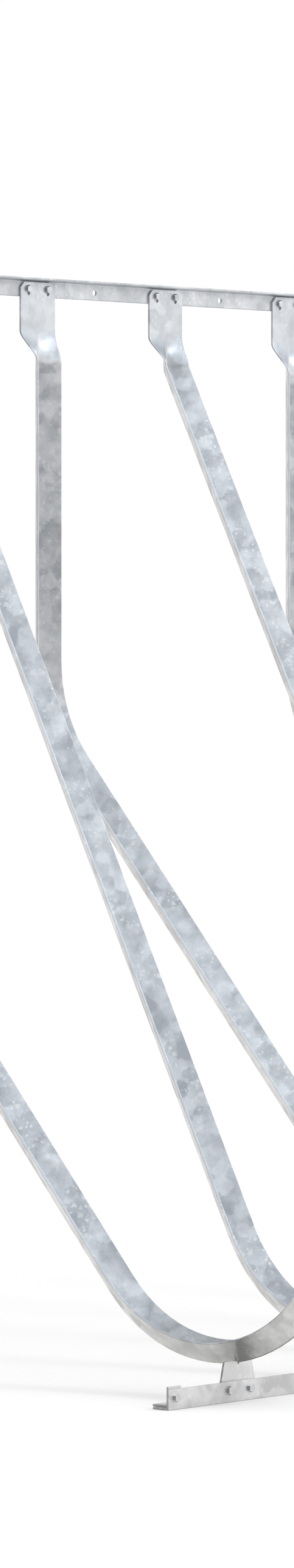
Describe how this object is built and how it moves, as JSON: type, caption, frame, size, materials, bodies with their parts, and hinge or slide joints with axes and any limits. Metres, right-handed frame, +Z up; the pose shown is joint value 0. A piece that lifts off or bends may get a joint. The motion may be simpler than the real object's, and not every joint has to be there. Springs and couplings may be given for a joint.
{
  "type": "semi-vertical bike rack",
  "caption": "Galvanised steel bike rack between wall and floor: angle-bar wheel gutters, low and high in turn, with curved wheel cradles on a floor rail.",
  "frame": {"origin": "on the floor, at the middle of the rack's length and depth", "axes": "+X to the right along the wall, +Y towards the wall, +Z up; wheels roll in from -Y"},
  "size_m": [1.875, 1.3306, 1.996],
  "materials": {
    "gutter_zinc": "hot-dip galvanised, mottled spangle",
    "rail_zinc": "hot-dip galvanised, faint spangle",
    "plate_zinc": "hot-dip galvanised, pale and even",
    "fastener_zinc": "zinc plated"
  },
  "bodies": {
    "root": {"top_rail": "rail_zinc", "floor_rail": "rail_zinc", "low_gutter_1": "gutter_zinc", "foot_plate_1": "plate_zinc", "top_bolts_1": "fastener_zinc", "foot_bolts_1": "fastener_zinc", "foot_nuts_1": "fastener_zinc", "high_gutter_2": "gutter_zinc", "foot_plate_2": "plate_zinc", "top_bolts_2": "fastener_zinc", "foot_bolts_2": "fastener_zinc", "foot_nuts_2": "fastener_zinc", "low_gutter_3": "gutter_zinc", "foot_plate_3": "plate_zinc", "top_bolts_3": "fastener_zinc", "foot_bolts_3": "fastener_zinc", "foot_nuts_3": "fastener_zinc", "high_gutter_4": "gutter_zinc", "foot_plate_4": "plate_zinc", "top_bolts_4": "fastener_zinc", "foot_bolts_4": "fastener_zinc", "foot_nuts_4": "fastener_zinc", "low_gutter_5": "gutter_zinc", "foot_plate_5": "plate_zinc", "top_bolts_5": "fastener_zinc", "foot_bolts_5": "fastener_zinc", "foot_nuts_5": "fastener_zinc", "left_end_cleat": "rail_zinc", "left_end_bolt": "fastener_zinc", "left_end_nut": "fastener_zinc", "right_end_cleat": "rail_zinc", "right_end_bolt": "fastener_zinc", "right_end_nut": "fastener_zinc"}
  },
  "joints": []
}
